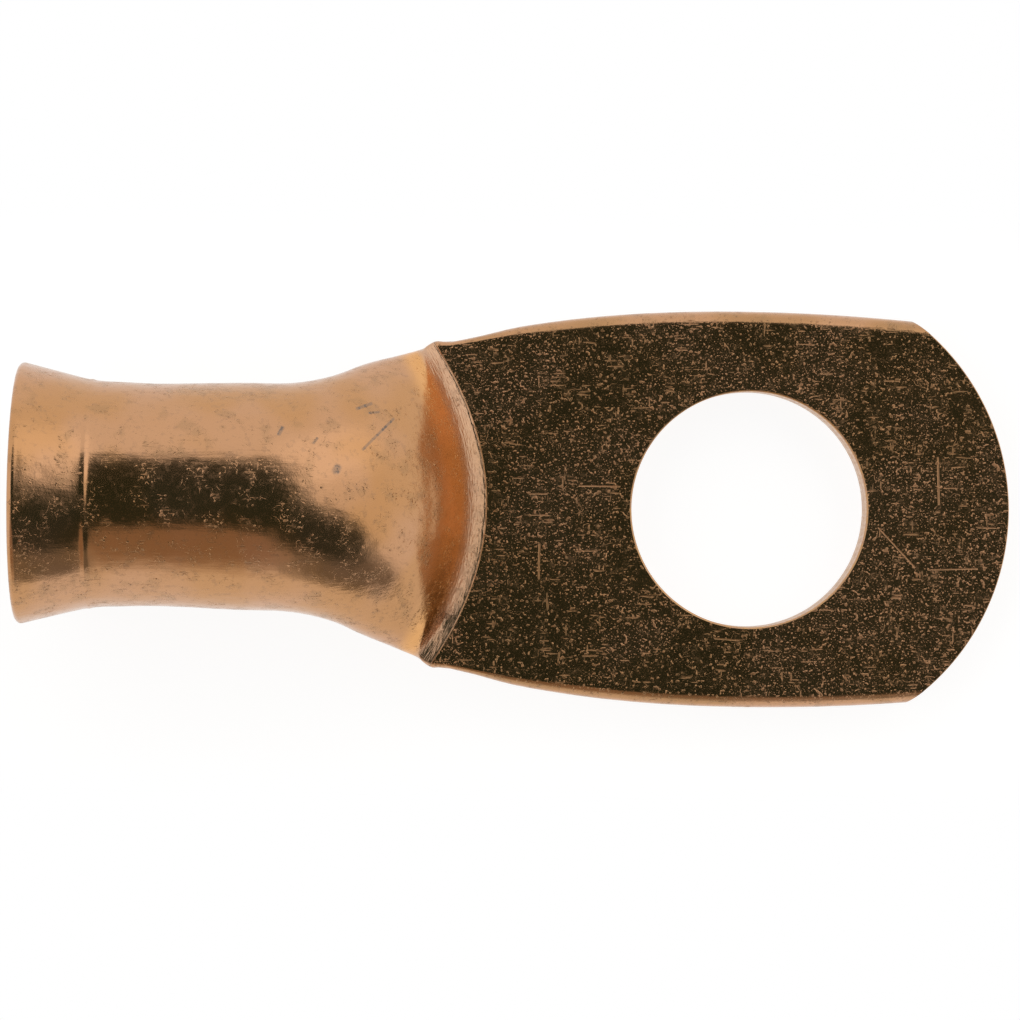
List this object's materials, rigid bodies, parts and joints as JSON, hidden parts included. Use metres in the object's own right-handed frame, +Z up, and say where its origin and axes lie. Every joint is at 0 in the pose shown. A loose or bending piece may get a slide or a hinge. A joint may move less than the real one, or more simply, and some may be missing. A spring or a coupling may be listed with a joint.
{
  "type": "cable lug",
  "caption": "Copper cable lug: a round tube with a flared wire socket, a pressed neck and a flat palm with a stud hole.",
  "frame": {"origin": "centre of the stud hole on the underside of the palm", "axes": "+X from the wire socket to the palm's tip, +Y across the palm, +Z up out of the palm's stepped side"},
  "size_m": [0.0563, 0.0228, 0.0148],
  "materials": {
    "copper": "bare drawn copper with fine tool marks and light tarnish"
  },
  "bodies": {
    "root": {"cable_lug": "copper"}
  },
  "joints": []
}
